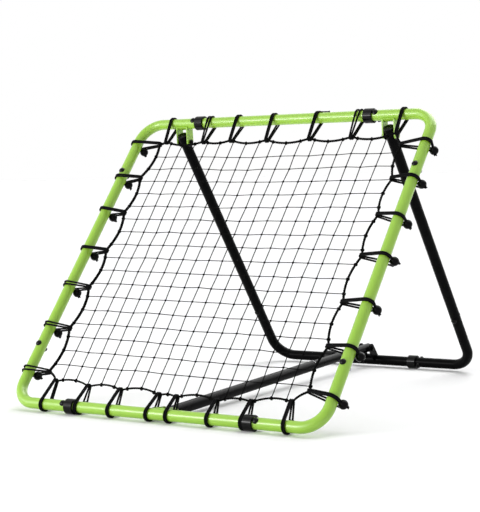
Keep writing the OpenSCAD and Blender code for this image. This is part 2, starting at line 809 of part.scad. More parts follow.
module strut_rear_cap() color(black) strut_frame()
  translate([0, strut_length + strut_end, 0]) rotate([-90, 0, 0])
    end_cap(inner_r, inner_bore_r - hole_gap, 4);

// ---- What is drawn ----

top_centre_tube();
bottom_centre_tube();
top_left_corner();
top_right_corner();
bottom_left_corner();
bottom_right_corner();
left_side_tube();
right_side_tube();
left_hinge_bracket();
right_hinge_bracket();
strut_front_bracket();
top_left_collar();
top_right_collar();
bottom_left_collar();
bottom_right_collar();
frame_joint_bolts();
frame_joint_nuts();
hinge_bolts();
hinge_nuts();
hinge_washers();
strut_front_bolt();
strut_front_nut();
net();
net_border_rope();
top_cords();
bottom_cords();
left_cords();
right_cords();
top_cord_balls();
bottom_cord_balls();
left_cord_balls();
right_cord_balls();
left_leg_tube();
right_leg_tube();
left_leg_cap();
right_leg_cap();
rear_left_corner();
rear_right_corner();
rear_centre_tube();
rear_left_collar();
rear_right_collar();
strut_rear_bracket();
rear_joint_bolts();
rear_joint_nuts();
strut_rear_bolt();
strut_rear_nut();
strut_outer_tube();
strut_front_cap();
strut_inner_tube();
strut_rear_cap();
strut_button();
button_spring();
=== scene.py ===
import json
import math
import random

import bmesh
import bpy
from mathutils import Matrix, Vector


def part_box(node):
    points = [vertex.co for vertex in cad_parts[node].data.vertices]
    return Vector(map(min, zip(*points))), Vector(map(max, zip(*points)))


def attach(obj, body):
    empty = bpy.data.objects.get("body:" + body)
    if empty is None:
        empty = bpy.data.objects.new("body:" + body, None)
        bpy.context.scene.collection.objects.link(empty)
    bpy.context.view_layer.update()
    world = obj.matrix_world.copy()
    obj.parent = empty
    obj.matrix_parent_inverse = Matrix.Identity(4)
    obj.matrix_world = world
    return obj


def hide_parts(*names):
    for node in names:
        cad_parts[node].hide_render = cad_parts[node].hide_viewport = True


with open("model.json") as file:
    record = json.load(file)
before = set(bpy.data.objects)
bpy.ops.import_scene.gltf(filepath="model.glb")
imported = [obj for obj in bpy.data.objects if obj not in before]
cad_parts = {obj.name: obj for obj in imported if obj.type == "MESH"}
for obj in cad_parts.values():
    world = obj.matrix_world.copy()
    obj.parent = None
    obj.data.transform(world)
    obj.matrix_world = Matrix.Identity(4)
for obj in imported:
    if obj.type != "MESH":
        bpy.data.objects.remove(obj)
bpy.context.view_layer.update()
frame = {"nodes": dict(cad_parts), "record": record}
nodes = frame["nodes"]
scene = bpy.context.scene
print("frame loaded:", len(nodes), "solids")


# The view and the studio

view = {
    "place": (2.3012, -3.5244, 0.6604),  # metres, in the object's frame
    "turn": 34.385,  # degrees to the left of straight ahead
    "tilt": -3.734,
    "roll": -1.587,
    "focus": 1499.6,  # pixels, for a picture 512 high
    "pictureHeight": 512,
    "sensor": 36.0,
    "nearest": 0.05,
    "farthest": 60,
}


def makeCamera():
    data = bpy.data.cameras.new("camera")
    data.sensor_width = view["sensor"]
    data.lens = view["focus"] / view["pictureHeight"] * view["sensor"]
    data.clip_start, data.clip_end = view["nearest"], view["farthest"]
    camera = bpy.data.objects.new("camera", data)
    turn = Matrix.Rotation(math.radians(view["turn"]), 4, "Z")
    tilt = Matrix.Rotation(math.radians(90 + view["tilt"]), 4, "X")
    roll = Matrix.Rotation(math.radians(view["roll"]), 4, "Z")
    camera.matrix_world = Matrix.Translation(view["place"]) @ turn @ tilt @ roll
    scene.collection.objects.link(camera)
    scene.camera = camera


studio = {
    "skyLight": 0.29,
    # each sun: where it comes from, watts per square metre, degrees across
    "suns": {
        "frontSun": ((-0.6, -0.75, 0.17), 1.65, 60),
        "backSun": ((0.06, 0.9, 0.8), 2.3, 60),
        "topSun": ((0.05, 0.3, 1.0), 0.9, 50),
    },
    # each panel: its middle, watts, width and height
    "panels": {"strip": ((-1.8, -3.45, 1.15), 52, 1.4, 0.75)},
    "aim": (0, -0.1, 0.4),
    "floorColour": (0.9, 0.9, 0.905, 1),
    "floorGlow": 0.05,
    "floorSize": 40,
}


def lamp(name, kind, place, aim, energy):
    data = bpy.data.lights.new(name, kind)
    data.energy = energy
    thing = bpy.data.objects.new(name, data)
    thing.location = place
    thing.rotation_euler = (Vector(aim) - Vector(place)).to_track_quat("-Z", "Y").to_euler()
    scene.collection.objects.link(thing)
    return data


def makeLamps():
    for name, (place, strength, width) in studio["suns"].items():
        lamp(name, "SUN", place, (0, 0, 0), strength).angle = math.radians(width)
    for name, (place, energy, width, height) in studio["panels"].items():
        panel = lamp(name, "AREA", place, studio["aim"], energy)
        panel.shape = "RECTANGLE"
        panel.size, panel.size_y = width, height


def makeWorld():
    world = bpy.data.worlds.new("studio")
    scene.world = world
    world.use_nodes = True
    tree = world.node_tree
    tree.nodes.clear()
    out = tree.nodes.new("ShaderNodeOutputWorld")
    mix = tree.nodes.new("ShaderNodeMixShader")
    soft = tree.nodes.new("ShaderNodeBackground")
    white = tree.nodes.new("ShaderNodeBackground")
    soft.inputs["Strength"].default_value = studio["skyLight"]
    white.inputs["Color"].default_value = (1, 1, 1, 1)
    tree.links.new(seenRays(tree), mix.inputs["Fac"])
    tree.links.new(soft.outputs[0], mix.inputs[1])
    tree.links.new(white.outputs[0], mix.inputs[2])
    tree.links.new(mix.outputs[0], out.inputs["Surface"])


def seenRays(tree):
    # one for rays that show the background: seen, mirrored or through
    path = tree.nodes.new("ShaderNodeLightPath")
    last = path.outputs["Is Camera Ray"]
    for name in ("Is Glossy Ray", "Is Transmission Ray"):
        most = tree.nodes.new("ShaderNodeMath")
        most.operation = "MAXIMUM"
        tree.links.new(last, most.inputs[0])
        tree.links.new(path.outputs[name], most.inputs[1])
        last = most.outputs[0]
    return last


def makeFloor():
    sheet = bmesh.new()
    bmesh.ops.create_grid(sheet, x_segments=1, y_segments=1, size=studio["floorSize"])
    floor = keep(sheet, "floor")
    material = bpy.data.materials.new("paleFloor")
    material.use_nodes = True
    tree = material.node_tree
    tree.nodes.clear()
    out = tree.nodes.new("ShaderNodeOutputMaterial")
    both = tree.nodes.new("ShaderNodeAddShader")
    matt = tree.nodes.new("ShaderNodeBsdfDiffuse")
    glow = tree.nodes.new("ShaderNodeEmission")
    strength = tree.nodes.new("ShaderNodeMath")
    strength.operation = "MULTIPLY"
    strength.inputs[1].default_value = studio["floorGlow"]
    matt.inputs["Color"].default_value = studio["floorColour"]
    tree.links.new(seenRays(tree), strength.inputs[0])
    tree.links.new(strength.outputs[0], glow.inputs["Strength"])
    tree.links.new(matt.outputs[0], both.inputs[0])
    tree.links.new(glow.outputs[0], both.inputs[1])
    tree.links.new(both.outputs[0], out.inputs["Surface"])
    floor.data.materials.append(material)


def keep(shape, name, smooth=False):
    # the bmesh as an object, its faces turned outwards
    mesh = bpy.data.meshes.new(name)
    bmesh.ops.recalc_face_normals(shape, faces=shape.faces)
    shape.to_mesh(mesh)
    shape.free()
    mesh.polygons.foreach_set("use_smooth", [smooth] * len(mesh.polygons))
    thing = bpy.data.objects.new(name, mesh)
    scene.collection.objects.link(thing)
    return thing


scene.view_settings.view_transform = "Standard"
makeCamera()
makeWorld()
makeLamps()
makeFloor()
print("camera, lights and floor made")


# Finishes

def newGroup(name, inputs, outputs):
    group = bpy.data.node_groups.new(name, "ShaderNodeTree")
    for socket, kind, value in inputs:
        made = group.interface.new_socket(name=socket, in_out="INPUT", socket_type=kind)
        made.default_value = value
    for socket, kind in outputs:
        group.interface.new_socket(name=socket, in_out="OUTPUT", socket_type=kind)
    return group, group.nodes.new("NodeGroupInput"), group.nodes.new("NodeGroupOutput")


def mathNode(tree, operation, a, b=None):
    node = tree.nodes.new("ShaderNodeMath")
    node.operation = operation
    for socket, value in zip(node.inputs, (a, b)):
        if isinstance(value, (int, float)):
            socket.default_value = value
        elif value is not None:
            tree.links.new(value, socket)
    return node.outputs[0]


patchEdge = (0.42, 0.66)  # noise values between which one shade turns into the other
bumpStrength = 0.6


def makePowderGroup():
    # powder coat: fine orange peel, and soft patches of another shade
    group, given, made = newGroup(
        "powderCoat",
        [("Colour", "NodeSocketColor", (0.5, 0.5, 0.5, 1)),
         ("Patch Colour", "NodeSocketColor", (0.4, 0.4, 0.4, 1)),
         ("Patch Scale", "NodeSocketFloat", 14.0), ("Peel Scale", "NodeSocketFloat", 900.0),
         ("Gloss", "NodeSocketFloat", 0.3), ("Gloss Spread", "NodeSocketFloat", 0.16)],
        [("Colour", "NodeSocketColor"), ("Roughness", "NodeSocketFloat"),
         ("Height", "NodeSocketFloat")])
    place = group.nodes.new("ShaderNodeTexCoord")
    patches = group.nodes.new("ShaderNodeTexNoise")
    patches.inputs["Detail"].default_value = 3
    ramp = group.nodes.new("ShaderNodeMapRange")
    ramp.inputs["From Min"].default_value = patchEdge[0]
    ramp.inputs["From Max"].default_value = patchEdge[1]
    mix = group.nodes.new("ShaderNodeMix")
    mix.data_type = "RGBA"
    peel = group.nodes.new("ShaderNodeTexNoise")
    peel.inputs["Detail"].default_value = 1
    link = group.links.new
    link(place.outputs["Object"], patches.inputs["Vector"])
    link(place.outputs["Object"], peel.inputs["Vector"])
    link(given.outputs["Patch Scale"], patches.inputs["Scale"])
    link(given.outputs["Peel Scale"], peel.inputs["Scale"])
    link(patches.outputs["Fac"], ramp.inputs["Value"])
    link(ramp.outputs[0], mix.inputs["Factor"])
    link(given.outputs["Colour"], mix.inputs["A"])
    link(given.outputs["Patch Colour"], mix.inputs["B"])
    spread = mathNode(group, "MULTIPLY", patches.outputs["Fac"], given.outputs["Gloss Spread"])
    link(mix.outputs["Result"], made.inputs["Colour"])
    link(mathNode(group, "ADD", given.outputs["Gloss"], spread), made.inputs["Roughness"])
    link(peel.outputs["Fac"], made.inputs["Height"])
    return group


def makeBraidGroup():
    # braided sheath or laid yarn, along a cord's own UV map
    group, given, made = newGroup(
        "cordLay",
        [("Colour", "NodeSocketColor", (0.02, 0.02, 0.02, 1)),
         ("Worn Colour", "NodeSocketColor", (0.06, 0.06, 0.06, 1)),
         ("Turns", "NodeSocketFloat", 60.0), ("Strands", "NodeSocketFloat", 6.0),
         ("Crossed", "NodeSocketFloat", 1.0)],
        [("Colour", "NodeSocketColor"), ("Height", "NodeSocketFloat")])
    uv = group.nodes.new("ShaderNodeUVMap")
    parts = group.nodes.new("ShaderNodeSeparateXYZ")
    group.links.new(uv.outputs["UV"], parts.inputs[0])
    along = mathNode(group, "MULTIPLY", parts.outputs["X"], given.outputs["Turns"])
    around = mathNode(group, "MULTIPLY", parts.outputs["Y"], given.outputs["Strands"])
    waves = []
    for way in ("ADD", "SUBTRACT"):
        angle = mathNode(group, "MULTIPLY", mathNode(group, way, along, around), 2 * math.pi)
        waves.append(mathNode(group, "SINE", angle))
    crossing = mathNode(group, "MULTIPLY", waves[1], given.outputs["Crossed"])
    height = mathNode(group, "MAXIMUM", waves[0], crossing)
    shade = mathNode(group, "MULTIPLY", mathNode(group, "ADD", height, 1.0), 0.5)
    mix = group.nodes.new("ShaderNodeMix")
    mix.data_type = "RGBA"
    group.links.new(shade, mix.inputs["Factor"])
    group.links.new(given.outputs["Colour"], mix.inputs["A"])
    group.links.new(given.outputs["Worn Colour"], mix.inputs["B"])
    group.links.new(mix.outputs["Result"], made.inputs["Colour"])
    group.links.new(shade, made.inputs["Height"])
    return group


def newMaterial(name, group, values, bumpDepth, roughness=None, **sockets):
    # a group's effect on a Principled BSDF; the sockets are the shader's own
    material = bpy.data.materials.new(name)
    material.use_nodes = True
    tree = material.node_tree
    shader = tree.nodes["Principled BSDF"]
    detail = tree.nodes.new("ShaderNodeGroup")
    detail.node_tree = group
    for socket, value in values.items():
        detail.inputs[socket].default_value = value
    bump = tree.nodes.new("ShaderNodeBump")
    bump.inputs["Distance"].default_value = bumpDepth
    bump.inputs["Strength"].default_value = bumpStrength
    tree.links.new(detail.outputs["Colour"], shader.inputs["Base Color"])
    tree.links.new(detail.outputs["Height"], bump.inputs["Height"])
    tree.links.new(bump.outputs["Normal"], shader.inputs["Normal"])
    if roughness is None:
        tree.links.new(detail.outputs["Roughness"], shader.inputs["Roughness"])
    else:
        shader.inputs["Roughness"].default_value = roughness
    for socket, value in sockets.items():
        shader.inputs[socket.replace("_", " ")].default_value = value
    return material


powder = makePowderGroup()
braid = makeBraidGroup()

finishes = {
    "green_tube": newMaterial("limePowderCoat", powder, {
        "Colour": (0.308, 0.57, 0.037, 1), "Patch Colour": (0.298, 0.557, 0.035, 1),
        "Patch Scale": 9.0, "Peel Scale": 500.0, "Gloss": 0.4, "Gloss Spread": 0.03},
        0.000001, Coat_Weight=0.65, Coat_Roughness=0.16, Specular_IOR_Level=0.5),
    "black_tube": newMaterial("blackPowderCoat", powder, {
        "Colour": (0.0016, 0.0016, 0.0018, 1), "Patch Colour": (0.0025, 0.0025, 0.0028, 1),
        "Patch Scale": 30.0, "Peel Scale": 700.0, "Gloss": 0.2},
        0.000004, Specular_IOR_Level=0.035),
    "black_plastic": newMaterial("mouldedBlack", powder, {
        "Colour": (0.0016, 0.0016, 0.0018, 1), "Patch Colour": (0.0025, 0.0025, 0.0025, 1),
        "Patch Scale": 60.0, "Peel Scale": 900.0, "Gloss": 0.08},
        0.000004, Specular_IOR_Level=0.15),
    "black_bolt": newMaterial("blackBolt", powder, {
        "Colour": (0.0016, 0.0016, 0.0016, 1), "Patch Colour": (0.0025, 0.0025, 0.0025, 1),
        "Patch Scale": 120.0, "Peel Scale": 1200.0, "Gloss": 0.03},
        0.000003, Specular_IOR_Level=0.12),
    "steel": newMaterial("zincPlate", powder, {
        "Colour": (0.46, 0.46, 0.47, 1), "Patch Colour": (0.38, 0.38, 0.4, 1),
        "Patch Scale": 150.0, "Peel Scale": 1500.0, "Gloss": 0.24},
        0.000005, Metallic=1.0),
    "net_string": newMaterial("netTwine", braid, {
        "Colour": (0.002, 0.002, 0.002, 1), "Worn Colour": (0.003, 0.003, 0.003, 1),
        "Turns": 300.0, "Strands": 2.0, "Crossed": 0.0},
        0.00005, roughness=0.9, Specular_IOR_Level=0.04),
    "border_rope": newMaterial("ropeYarn", braid, {
        "Colour": (0.002, 0.002, 0.002, 1), "Worn Colour": (0.005, 0.005, 0.005, 1),
        "Turns": 900.0, "Strands": 3.0, "Crossed": 0.0},
        0.0002, roughness=0.85, Specular_IOR_Level=0.04),
    "elastic": newMaterial("elasticSheath", braid, {
        "Colour": (0.002, 0.002, 0.0022, 1), "Worn Colour": (0.005, 0.005, 0.0055, 1),
        "Turns": 60.0, "Strands": 6.0, "Crossed": 1.0},
        0.0003, roughness=0.6, Specular_IOR_Level=0.04),
    "ball": newMaterial("ballPlastic", powder, {
        "Colour": (0.0016, 0.0016, 0.0018, 1), "Patch Colour": (0.0025, 0.0025, 0.0025, 1),
        "Patch Scale": 90.0, "Peel Scale": 1000.0, "Gloss": 0.1},
        0.000005, Specular_IOR_Level=0.07),
}

for part in frame["record"]["subparts"]:
    solid = nodes[part["node"]]
    solid.data.materials.clear()
    solid.data.materials.append(finishes[part["material_slot"]])
print("finishes on every solid")


# The leaning frame's own directions, from the two rails

def middleOf(node):
    low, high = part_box(node)
    return (low + high) / 2


railLow = middleOf("bottom_centre_tube")
railHigh = middleOf("top_centre_tube")
upFrame = (railHigh - railLow).normalized()
behindFrame = Vector((0, upFrame.z, -upFrame.y))
frameRise = (railHigh - railLow).length
sideOut = (middleOf("right_side_tube") - middleOf("left_side_tube")).length / 2


def onFrame(across, behind, up):
    return railLow + Vector((across, 0, 0)) + behindFrame * behind + upFrame * up


# Rope and elastics: places on the tubes and on the rope

rope = {
    "radius": 0.00325,
    "strands": 3,
    "strandShare": 0.54,  # a strand's radius, as a share of the rope's
    # inward bow between two ties, as a share of their distance, and the looser spans
    "bow": {"top": 0.1, "bottom": 0.1, "left": 0.115, "right": 0.1},
    "slack": {("top", 5): 0.11},
    "steps": 16,
    "layLength": 0.018,  # one turn of the strands
    "pointsPerTurn": 10,
    "fullness": {"left": 1.32, "top": 1.08, "right": 1.05, "bottom": 0.9},
}

elastic = {
    "radius": 0.0026,
    "knotCord": 0.0019,
    "tubeRadius": 0.015,
    "gap": 0.0003,
    "cordGap": 0.0002,  # between the doubled cord's two halves
    "ballRadius": 0.0122,
    "ballGap": 0.0005,
    "tubeSteps": 16,
    "ropeSteps": 8,
    "inBall": 0.6,  # how close the halves are in the ball, as a share of their gap outside
    "hookRound": (0.8, 0.7),  # how far out and how wide the hook's shoulders are
    "facing": (1.5, 2.5),  # how the knot leans from the ball's place and shift
    # degrees from straight behind
    "ballTurn": {"top": -38, "bottom": 38, "left": 28, "right": -50},
    # where the cord's loop ends behind the tube: behind and towards the net, in
    # millimetres
    "hook": {"top": (23.5, -12.5), "bottom": (19.6, 6.8), "left": (20.4, 3), "right": (29.3, -7.3)},
    # each: place on the tube, place on the rope, rope's distance from the tube,
    # ball's shift along the tube, half the width in front of the tube and half the
    # hook's width, in millimetres
    "top": [
        (-383, -380, 67, 0, 2.8, 4), (-245.5, -244, 71, 0, 5.4, 4),
        (-147, -148, 69, 0, 3.2, 4.3), (-25, -24, 73, 0, 3.2, 4.3),
        (120, 118, 73, 0, 3.2, 3), (252.5, 251, 73, 0, 6, 3), (390, 388, 63, 0, 3, 3)],
    "bottom": [
        (-378, -376.5, 71, 0, 2.8, 3.5), (-260, -258, 63, 0, 2.8, 7.5),
        (-150, -149, 60, 0, 2.8, 5), (-25.5, -21, 55, -9, 2.8, 5),
        (36.5, 36.5, 53, 0, 2.8, 5), (162.7, 161, 51, 0, 2.8, 5),
        (263.8, 262.5, 57, -7.5, 2.8, 5), (386, 376.5, 66, 0, 2.8, 5)],
    "left": [
        (98, 99, 69, -1, 6.0, 4), (244, 241, 69, -6, 4.7, 4),
        (381, 379, 69, -7, 4.7, 4), (506, 506, 69, -5, 2.8, 4),
        (646, 641, 69, -4, 2.8, 4), (766, 768, 68, -5, 3.3, 4), (894, 894, 83, -8, 2.8, 4)],
    "right": [
        (85, 99, 69, 0, 2.8, 4.6), (224, 228, 64, -8, 2.8, 4.6),
        (359, 359, 69, -8, 2.8, 4.6), (499, 501, 64, 0, 2.8, 4.6),
        (623, 631, 61, -6, 2.8, 4.6), (748, 749.5, 59, -4, 2.8, 4.6),
        (868, 864, 67, -14, 2.8, 4.6)],
}

# one cord end lies along the top tube: millimetres along, behind and inward
looseEnd = {
    "places": (
        (123, -10.5, -13.4), (138, -10.7, -13.0), (152, -10.5, -13.2), (156, -10.2, -13.6)),
    "radius": 0.0017,
    "fullness": [1.4, 0.9, 0.9, 1.5],
}

# each tube: how a place along it, behind it and towards the net lies on the frame
sides = {
    "top": lambda along, behind, inward: onFrame(along, behind, frameRise - inward),
    "bottom": lambda along, behind, inward: onFrame(along, behind, inward),
    "left": lambda along, behind, inward: onFrame(inward - sideOut, behind, along),
    "right": lambda along, behind, inward: onFrame(sideOut - inward, behind, along),
}


def ties(side):
    # the rope's ties on one side as [across, up], in metres
    flat = {
        "top": lambda along, inward: (along, frameRise - inward),
        "bottom": lambda along, inward: (along, inward),
        "left": lambda along, inward: (inward - sideOut, along),
        "right": lambda along, inward: (sideOut - inward, along),
    }[side]
    return [Vector(flat(place[1] / 1000, place[2] / 1000)) for place in elastic[side]]


def ropePath():
    # points [across, up] clockwise from the top left, bowed towards the net,
    # and how full the rope is at each
    points = ties("top") + ties("right")[::-1] + ties("bottom")[::-1] + ties("left")
    names, bows = [], []
    for side in ("top", "right", "bottom", "left"):
        names += [side] * len(elastic[side])
        bow = rope["bow"][side]
        bows += [rope["slack"].get((side, i), bow) for i in range(len(elastic[side]))]
    full = rope["fullness"]
    path, fullness = [], []
    for i, start in enumerate(points):
        end = points[(i + 1) % len(points)]
        run = end - start
        inward = Vector((run.y, -run.x))
        fromFull, toFull = full[names[i]], full[names[(i + 1) % len(points)]]
        for step in range(rope["steps"]):
            t = step / rope["steps"]
            path.append(start + run * t + inward * bows[i] * 4 * t * (1 - t))
            fullness.append(fromFull + (toFull - fromFull) * t)
    return path, fullness


def cordCurve(name, splines, radius, closed=False, corners=8, fullness=None):
    # round cords along lists of points, turned into one mesh with a UV map
    curve = bpy.data.curves.new(name, "CURVE")
    curve.dimensions = "3D"
    curve.bevel_depth = radius
    curve.bevel_resolution = corners // 2 - 2
    curve.use_fill_caps = True
    for points in splines:
        spline = curve.splines.new("POLY")
        spline.points.add(len(points) - 1)
        for i, (place, point) in enumerate(zip(spline.points, points)):
            place.co = (*point, 1)
            place.radius = fullness[i] if fullness else 1
        spline.use_cyclic_u = closed
    holder = bpy.data.objects.new(name + ".curve", curve)
    scene.collection.objects.link(holder)
    bpy.context.view_layer.update()
    finished = holder.evaluated_get(bpy.context.evaluated_depsgraph_get())
    mesh = bpy.data.meshes.new_from_object(finished)
    bpy.data.objects.remove(holder)
    mesh.name = name
    mesh.polygons.foreach_set("use_smooth", [True] * len(mesh.polygons))
    return mesh


def joined(name, *meshes):
    # several meshes as one piece, the first one's UV map kept
    whole = bmesh.new()
    for mesh in meshes:
        whole.from_mesh(mesh)
    made = bpy.data.meshes.new(name)
    whole.to_mesh(made)
    whole.free()
    thing = bpy.data.objects.new(name, made)
    scene.collection.objects.link(thing)
    return thing


def dress(thing, body, slotName, node):
    # finish, body and the node that the piece replaces
    thing.data.materials.clear()
    thing.data.materials.append(finishes[slotName])
    thing.data.polygons.foreach_set("material_index", [0] * len(thing.data.polygons))
    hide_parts(node)
    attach(thing, body)


# Border rope: strands laid round the path

def laidPoints(path, fullness, turns, perTurn, radius, phase):
    # points that wind round the path, with the rope's fullness at each
    lengths = [0]
    for a, b in zip(path, path[1:] + path[:1]):
        lengths.append(lengths[-1] + (b - a).length)
    count = turns * perTurn
    points, full = [], []
    at = 0
    for i in range(count):
        s = lengths[-1] * i / count
        while lengths[at + 1] < s:
            at += 1
        following = (at + 1) % len(path)
        t = (s - lengths[at]) / (lengths[at + 1] - lengths[at])
        centre = path[at].lerp(path[following], t)
        scale = fullness[at] + (fullness[following] - fullness[at]) * t
        way = (path[following] - path[at]).normalized()
        out = Vector((-way.y, way.x))
        angle = 2 * math.pi * (i / perTurn + phase)
        flat = centre + out * radius * scale * math.cos(angle)
        points.append(onFrame(flat.x, radius * scale * math.sin(angle), flat.y))
        full.append(scale)
    return points, full


def makeRope(path, fullness):
    length = sum((b - a).length for a, b in zip(path, path[1:] + path[:1]))
    strandRadius = rope["radius"] * rope["strandShare"]
    layRadius = rope["radius"] - strandRadius
    turns = round(length / rope["layLength"])
    strands = []
    for k in range(rope["strands"]):
        phase = k / rope["strands"]
        strand, full = laidPoints(path, fullness, turns, rope["pointsPerTurn"], layRadius, phase)
        strands.append(strand)
    mesh = cordCurve("borderRope", strands, strandRadius, closed=True, fullness=full)
    dress(joined("borderRope", mesh), "front_frame", "border_rope", "net_border_rope")


# Net: strings through knots that are a little out of true, hitched to the rope

net = {
    "columns": 18,
    "rows": 18,
    "sides": (-0.3993, 0.4033),
    "ends": (0.0802, 0.8918),
    "columnRadius": 0.00138,
    "rowRadius": 0.0012,
    "hitchRadius": 0.0014,
    "knotRadius": 0.0031,
    "knotShape": (1.25, 0.8, 0.85),
    "knotTurns": (35, -55),  # degrees, one for each lobe
    "stray": 0.0016,
    "depthStray": 0.0006,
    "hitchTurns": 1.5,
    "hitchSteps": 12,  # points in one turn
    "hitchPitch": 0.0021,
    "hitchSeat": 0.6,  # how far the hitch's cord lies out of the rope, in its own radii
    # how far the net hangs below its even squares and is pulled to the right,
    # in millimetres, at these places across and up the frame
    "across": (-0.4, -0.2, -0.07, 0.075, 0.25, 0.4),
    "up": (0.08, 0.49, 0.89),
    "hang": ((0.5, 3.5, 6, 9, 10.5, 12), (4, 6, 8, 10, 11, 12), (0, 6.5, 14, 12.5, 10.5, 10)),
    "pull": ((0, 3, 3.5, 4, 2, 0), (0, 0, 0, 0, 0, 0), (-5, -6, -3, 0, 2.5, 5)),
}


def netField(name, across, up):
    # a value of the net's table between its places
    columns, rows, values = net["across"], net["up"], net[name]
    across = min(max(across, columns[0]), columns[-1])
    up = min(max(up, rows[0]), rows[-1])
    i = max(k for k in range(len(columns) - 1) if columns[k] <= across)
    j = max(k for k in range(len(rows) - 1) if rows[k] <= up)
    u = (across - columns[i]) / (columns[i + 1] - columns[i])
    v = (up - rows[j]) / (rows[j + 1] - rows[j])
    low = values[j][i] * (1 - u) + values[j][i + 1] * u
    high = values[j + 1][i] * (1 - u) + values[j + 1][i + 1] * u
    return (low * (1 - v) + high * v) / 1000


def crossings(path, axis, value):
    # where the rope crosses a straight line, lowest first, on the other axis
    other = 1 - axis
    found = []
    for a, b in zip(path, path[1:] + path[:1]):
        if (a[axis] - value) * (b[axis] - value) <= 0 and a[axis] != b[axis]:
            t = (value - a[axis]) / (b[axis] - a[axis])
            found.append((a[other] + (b[other] - a[other]) * t, (b - a).normalized()))
    found.sort(key=lambda hit: hit[0])
    return found[0], found[-1]


def makeNet(path):
    drift = random.Random(7)
    column = (net["sides"][1] - net["sides"][0]) / net["columns"]
    row = (net["ends"][1] - net["ends"][0]) / net["rows"]
    columns = [net["sides"][0] + i * column for i in range(1, net["columns"])]
    rows = [net["ends"][0] + j * row for j in range(1, net["rows"])]
    knots = []
    for up in rows:
        line = []
        for across in columns:
            depth = drift.uniform(-1, 1) * net["depthStray"]
            pulled = netField("pull", across, up) + drift.uniform(-1, 1) * net["stray"]
            hung = netField("hang", across, up) - drift.uniform(-1, 1) * net["stray"]
            line.append(Vector((across + pulled, depth, up - hung)))
        knots.append(line)
    uprights, levels, hitches = [], [], []
    for i, across in enumerate(columns):
        value = [across + netField("pull", across, up) for up in (net["up"][0], net["up"][-1])]
        low, high = crossings(path, 0, value[0])[0], crossings(path, 0, value[1])[1]
        ends = [Vector((value[0], 0, low[0])), Vector((value[1], 0, high[0]))]
        uprights.append([ends[0]] + [line[i] for line in knots] + [ends[1]])
        hitches += [(ends[0], low[1]), (ends[1], high[1])]
    edges = (net["across"][0], net["across"][-1])
    for up, line in zip(rows, knots):
        value = [up - netField("hang", across, up) for across in edges]
        low, high = crossings(path, 1, value[0])[0], crossings(path, 1, value[1])[1]
        ends = [Vector((low[0], 0, value[0])), Vector((high[0], 0, value[1]))]
        levels.append([ends[0]] + line + [ends[1]])
        hitches += [(ends[0], low[1]), (ends[1], high[1])]
    meshes = []
    for name, lines, radius in (
            ("netColumns", uprights, net["columnRadius"]), ("netRows", levels, net["rowRadius"]),
            ("netHitches", [hitchPoints(*hitch) for hitch in hitches], net["hitchRadius"])):
        placed = [[onFrame(*point) for point in line] for line in lines]
        meshes.append(cordCurve(name, placed, radius, corners=6))
    thing = joined("knottedNet", *meshes, knotMesh(sum(knots, [])))
    dress(thing, "front_frame", "net_string", "net")


def hitchPoints(place, way):
    # a few turns of string round the rope at one place
    along = Vector((way.x, 0, way.y))
    out = Vector((-way.y, 0, way.x))
    radius = rope["radius"] + net["hitchRadius"] * net["hitchSeat"]
    steps = int(net["hitchTurns"] * net["hitchSteps"])
    points = []
    for i in range(steps + 1):
        turn = 2 * math.pi * i / net["hitchSteps"]
        shift = (i / steps - 0.5) * net["hitchTurns"] * net["hitchPitch"]
        offset = out * radius * math.cos(turn) + Vector((0, radius * math.sin(turn), 0))
        points.append(place + along * shift + offset)
    return points


def knotMesh(places):
    # one small knot of two crossed lobes at every crossing
    lumps = bmesh.new()
    tilt = (railHigh - railLow).to_track_quat("Z", "Y").to_matrix().to_4x4()
    size = Matrix.Diagonal((*(net["knotRadius"] * share for share in net["knotShape"]), 1))
    for place in places:
        for angle in net["knotTurns"]:
            turn = Matrix.Rotation(math.radians(angle), 4, "Y")
            bmesh.ops.create_icosphere(
                lumps, subdivisions=1, radius=1,
                matrix=Matrix.Translation(onFrame(*place)) @ tilt @ turn @ size)
    for face in lumps.faces:
        face.smooth = True
    mesh = bpy.data.meshes.new("knots")
    lumps.to_mesh(mesh)
    lumps.free()
    return mesh


ropeLine, ropeFullness = ropePath()
makeRope(ropeLine, ropeFullness)
makeNet(ropeLine)
print("net and rope made")


# Elastics: doubled cord from the ball over the tube, round the rope and back,
# its loop hooked round its own neck between the tube and the ball

def bent(points, steps=6):
    # a smooth line through the points
    line = []
    ring = [points[0]] + points + [points[-1]]
    for a, b, c, d in zip(ring, ring[1:], ring[2:], ring[3:]):
        for k in range(steps):
            t = k / steps
            line.append(0.5 * (2 * b + (c - a) * t + (2 * a - 5 * b + 4 * c - d) * t * t
                               + (3 * b - a - 3 * c + d) * t * t * t))
    return line + [points[-1]]


